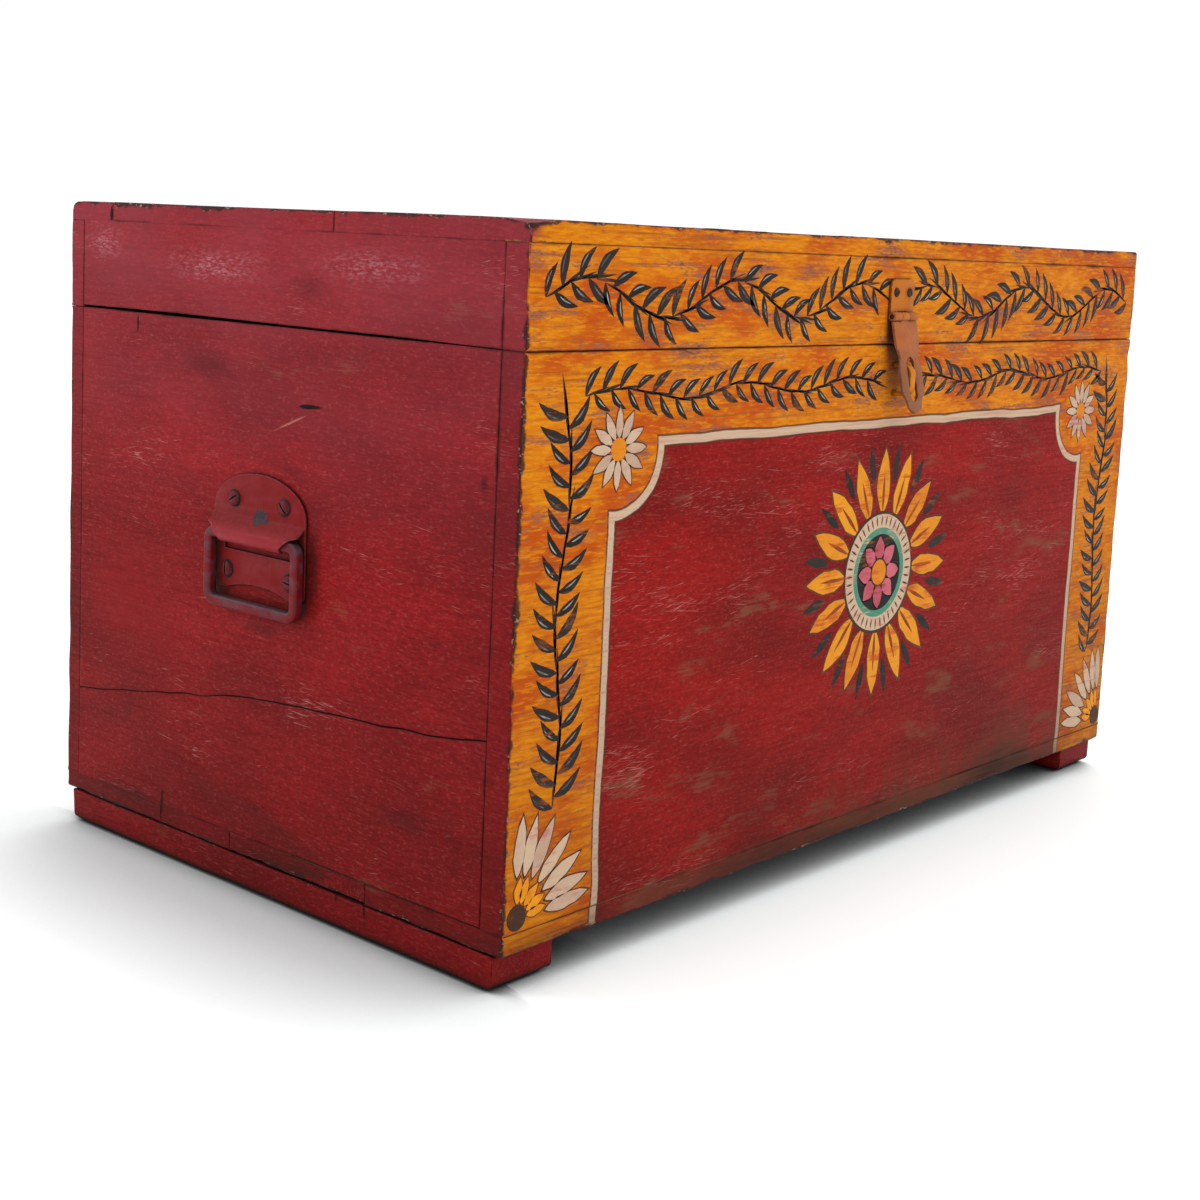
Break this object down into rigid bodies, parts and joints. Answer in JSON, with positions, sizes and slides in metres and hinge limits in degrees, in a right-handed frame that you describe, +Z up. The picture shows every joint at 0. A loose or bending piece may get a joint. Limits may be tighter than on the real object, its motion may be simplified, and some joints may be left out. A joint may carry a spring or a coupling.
{
  "type": "storage trunk",
  "caption": "Painted wooden storage trunk with a deep lid on hinges, a hasp that closes over a staple, drop handles on its ends and runners as feet.",
  "frame": {"origin": "on the floor, under the middle of the whole part", "axes": "+X along the length towards the right end, -Y out of the painted front, +Z up"},
  "size_m": [0.8254, 0.5057, 0.4787],
  "materials": {
    "red_painted_wood": "worn red paint",
    "front_painted_wood": "worn red and orange-yellow paint",
    "red_painted_steel": "red paint, chipped",
    "orange_painted_steel": "orange paint, rubbed",
    "worn_steel": "dark and worn"
  },
  "bodies": {
    "case": {"bottom_plank_1": "red_painted_wood", "bottom_plank_2": "red_painted_wood", "bottom_plank_3": "red_painted_wood", "bottom_plank_4": "red_painted_wood", "case_back_board": "red_painted_wood", "case_front_board": "front_painted_wood", "case_left_board": "red_painted_wood", "case_right_board": "red_painted_wood", "left_handle_plate": "red_painted_steel", "left_handle_screw_1": "red_painted_steel", "left_handle_screw_2": "red_painted_steel", "left_handle_screw_3": "red_painted_steel", "left_handle_screw_4": "red_painted_steel", "left_hinge_case_leaf": "red_painted_steel", "left_hinge_case_leaf_screw_1": "red_painted_steel", "left_hinge_case_leaf_screw_2": "red_painted_steel", "left_hinge_case_leaf_screw_3": "red_painted_steel", "left_hinge_pin": "worn_steel", "left_runner": "red_painted_wood", "right_handle_plate": "red_painted_steel", "right_handle_screw_1": "red_painted_steel", "right_handle_screw_2": "red_painted_steel", "right_handle_screw_3": "red_painted_steel", "right_handle_screw_4": "red_painted_steel", "right_hinge_case_leaf": "red_painted_steel", "right_hinge_case_leaf_screw_1": "red_painted_steel", "right_hinge_case_leaf_screw_2": "red_painted_steel", "right_hinge_case_leaf_screw_3": "red_painted_steel", "right_hinge_pin": "worn_steel", "right_runner": "red_painted_wood", "staple": "orange_painted_steel"},
    "lid": {"hasp_pin": "worn_steel", "hasp_plate": "orange_painted_steel", "hasp_screw_1": "worn_steel", "hasp_screw_2": "worn_steel", "left_hinge_lid_leaf": "red_painted_steel", "left_hinge_lid_leaf_screw_1": "red_painted_steel", "left_hinge_lid_leaf_screw_2": "red_painted_steel", "left_hinge_lid_leaf_screw_3": "red_painted_steel", "lid_back_rail": "red_painted_wood", "lid_front_rail": "front_painted_wood", "lid_left_rail": "red_painted_wood", "lid_right_rail": "red_painted_wood", "lid_top_back_plank": "red_painted_wood", "lid_top_front_plank": "red_painted_wood", "lid_top_middle_plank": "red_painted_wood", "right_hinge_lid_leaf": "red_painted_steel", "right_hinge_lid_leaf_screw_1": "red_painted_steel", "right_hinge_lid_leaf_screw_2": "red_painted_steel", "right_hinge_lid_leaf_screw_3": "red_painted_steel"},
    "hasp_strap": {"hasp_strap": "orange_painted_steel"},
    "left_bail": {"left_handle_bail": "red_painted_steel"},
    "right_bail": {"right_handle_bail": "red_painted_steel"}
  },
  "joints": [
    {"name": "lid_hinge", "type": "hinge", "parent": "case", "child": "lid", "pos_m": [0, 0.24869, 0.4], "axis": [-1, 0, 0], "range_deg": [0, 180]},
    {"name": "hasp_swing", "type": "hinge", "parent": "lid", "child": "hasp_strap", "pos_m": [0.005, -0.23551, 0.4209], "axis": [-1, 0, 0], "range_deg": [-12.9, 150]},
    {"name": "left_handle_swing", "type": "hinge", "parent": "case", "child": "left_bail", "pos_m": [-0.4067, 0.01119, 0.2546], "axis": [0, 1, 0], "range_deg": [0, 90]},
    {"name": "right_handle_swing", "type": "hinge", "parent": "case", "child": "right_bail", "pos_m": [0.4067, 0.01119, 0.2546], "axis": [0, -1, 0], "range_deg": [0, 90]}
  ]
}
